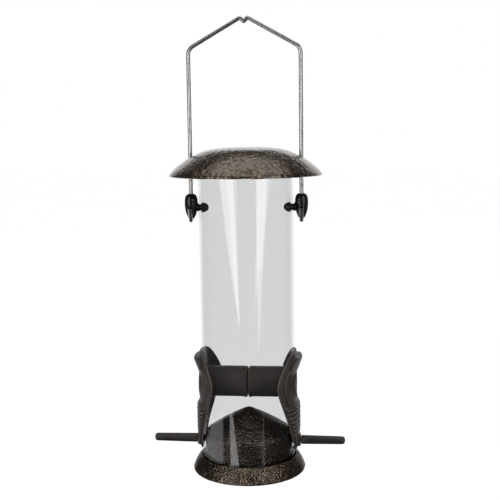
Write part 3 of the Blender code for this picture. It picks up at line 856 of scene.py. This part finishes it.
class FEEDER_OT_stage(bpy.types.Operator):
    """Sets the camera, the pale floor and the soft studio light"""

    bl_idname = "feeder.stage"
    bl_label = "Studio Stage"

    def set_camera(self, context, options):
        data = bpy.data.cameras.new("camera")
        data.lens = options.lens
        camera = bpy.data.objects.new("camera", data)
        context.scene.collection.objects.link(camera)
        around = Matrix.Rotation(options.azimuth, 4, "Z")
        place = Matrix.Translation((0, -options.distance, options.height))
        aside = Matrix.Rotation(CAMERA_ASIDE, 4, "Z")
        down = Matrix.Rotation(math.pi / 2 - options.pitch, 4, "X")
        camera.matrix_world = around @ place @ aside @ down @ Matrix.Rotation(options.roll, 4, "Z")
        context.scene.camera = camera

    def toward(self, azimuth, elevation):
        turn = math.radians(azimuth)
        rise = math.radians(elevation)
        across = math.cos(rise)
        return Vector((math.sin(turn) * across, -math.cos(turn) * across, math.sin(rise)))

    def add_softbox(self, context, name, azimuth, elevation, size, power):
        """A soft rectangular lamp that lights the feeder from a direction round it."""
        data = bpy.data.lights.new(name, "AREA")
        data.shape = "RECTANGLE"
        data.size, data.size_y = size
        data.energy = power
        back = self.toward(azimuth, elevation)
        lamp = bpy.data.objects.new(name, data)
        context.scene.collection.objects.link(lamp)
        lamp.matrix_world = back.to_track_quat("Z", "Y").to_matrix().to_4x4()
        lamp.matrix_world.translation = back * STAGE_REACH + Vector((0, 0, LAMP_AIM))
        lamp.visible_camera = False
        lamp.visible_glossy = False

    def add_card(self, name, corners, strength):
        """A glowing card that only reflections see, with its corners given as (azimuth, height)."""
        bpy.ops.object.select_all(action="DESELECT")
        bpy.ops.mesh.primitive_plane_add(size=1)
        card = bpy.context.object
        card.name = name
        order = (0, 1, 3, 2)
        for index, (azimuth, level) in zip(order, corners):
            card.data.vertices[index].co = self.toward(azimuth, 0) * STAGE_REACH + Vector((0, 0, level))
        material, f = new_material(name)
        f.finish(f.node("ShaderNodeEmission", None, {"Color": (1, 1, 1, 1), "Strength": strength}))
        card.data.materials.append(material)
        card.visible_camera = False
        card.visible_diffuse = False
        card.visible_transmission = False
        card.visible_shadow = False

    def set_floor(self):
        bpy.ops.object.select_all(action="DESELECT")
        bpy.ops.mesh.primitive_plane_add(size=12)
        floor = bpy.context.object
        floor.name = "floor"
        floor.visible_glossy = False
        material, f = new_material("pale_floor")
        faint = f.noise(f.object_space(), 3.0)
        tone = f.ramp(faint, [(0.3, (0.085, 0.085, 0.085)), (0.7, (0.095, 0.095, 0.095))])
        matt = f.principled(Base_Color=tone, Roughness=0.9, Specular_IOR_Level=0.0)
        glow = f.node("ShaderNodeEmission", None, {"Color": (1, 1, 1, 1), "Strength": 0.965})
        f.finish(f.node("ShaderNodeAddShader", None, {0: matt, 1: glow}))
        floor.data.materials.append(material)

    def set_world(self, context):
        """White to the camera, bright behind the feeder and dim before and above it."""
        world = bpy.data.worlds.new("studio")
        f = Finish(world)
        ray = f.node("ShaderNodeLightPath", out="Is Camera Ray")
        direction = f.node("ShaderNodeTexCoord", out="Generated")
        depth = f.node("ShaderNodeSeparateXYZ", None, {0: direction}, out="Y")
        height = f.node("ShaderNodeSeparateXYZ", None, {0: direction}, out="Z")
        behind = f.spread(depth, 0.62, 0.9) * f.spread(height, 0.38, 0.58, 1.0, 0.0)
        above = f.spread(height, 0.76, 0.88) * f.spread(height, 0.983, 0.996, 1.0, 0.3)
        level = f.spread(behind * 0.9 + above, 0.0, 1.0, 0.05, 0.95)
        strength = ray + (1 - ray) * level
        sky = f.node("ShaderNodeBackground", None, {"Color": (1, 1, 1, 1), "Strength": strength})
        f.finish(sky, "ShaderNodeOutputWorld")
        context.scene.world = world

    def execute(self, context):
        self.set_camera(context, settings("stage"))
        self.set_floor()
        self.set_world(context)
        self.add_softbox(context, "softbox_left", -43, 28, (0.42, 0.6), 2.6)
        self.add_softbox(context, "softbox_right", 43, 28, (0.42, 0.6), 2.4)
        self.add_softbox(context, "softbox_top", 0, 80, (0.8, 0.5), 1.6)
        self.add_card("card_left", [(-12, -0.06), (-24, 0.17), (-24, 0.75), (-60, 0.17)], 2.2)
        self.add_card("card_right", [(31, -0.1), (58, 0.17), (58, 0.75), (26, 0.75)], 1.7)
        self.add_card("low_card_left", [(-42, -0.32), (-10, -0.32), (-35, -0.19), (-42, -0.19)], 1.9)
        self.add_card("low_card_side", [(-106, -0.4), (-62, -0.4), (-62, -0.19), (-106, -0.19)], 1.0)
        self.add_card("low_card_back", [(-150, -0.4), (-106, -0.4), (-106, -0.19), (-150, -0.19)], 0.7)
        self.add_card("low_card_right", [(36, -0.32), (46, -0.32), (42, -0.19), (41, -0.19)], 0.6)
        context.scene.view_settings.view_transform = "Standard"
        return {"FINISHED"}


class FEEDER_PT_panel(bpy.types.Panel):
    bl_idname = "FEEDER_PT_panel"
    bl_label = "Seed Tube Feeder"
    bl_space_type = "VIEW_3D"
    bl_region_type = "UI"
    bl_category = "Feeder"

    def draw(self, context):
        for group, kinds in GROUPS:
            box = self.layout.box()
            options = settings(group)
            for name in type(options).__annotations__:
                box.prop(options, name)
            for kind in kinds:
                box.operator(kind.bl_idname)


GROUPS = [
    ("tube", [FEEDER_OT_tube]),
    ("metal", [FEEDER_OT_metal]),
    ("hanger", [FEEDER_OT_wire, FEEDER_OT_bungs]),
    ("port", [FEEDER_OT_ports, FEEDER_OT_perches]),
    ("stage", [FEEDER_OT_stage]),
]
SETTINGS = {
    "tube": FeederTubeSettings,
    "metal": FeederMetalSettings,
    "hanger": FeederHangerSettings,
    "port": FeederPortSettings,
    "stage": FeederStageSettings,
}
OPERATORS = [kind for group, kinds in GROUPS for kind in kinds]


def register():
    for kind in [*SETTINGS.values(), *OPERATORS, FEEDER_PT_panel]:
        bpy.utils.register_class(kind)
    for name, kind in SETTINGS.items():
        setattr(bpy.types.Scene, f"feeder_{name}", bpy.props.PointerProperty(type=kind))


def unregister():
    for name in SETTINGS:
        delattr(bpy.types.Scene, f"feeder_{name}")
    for kind in reversed([*SETTINGS.values(), *OPERATORS, FEEDER_PT_panel]):
        bpy.utils.unregister_class(kind)


def main():
    register()
    bpy.ops.feeder.tube()
    bpy.ops.feeder.metal()
    bpy.ops.feeder.wire()
    bpy.ops.feeder.bungs()
    bpy.ops.feeder.ports()
    bpy.ops.feeder.perches()
    bpy.ops.feeder.stage()


if __name__ == "__main__":
    main()
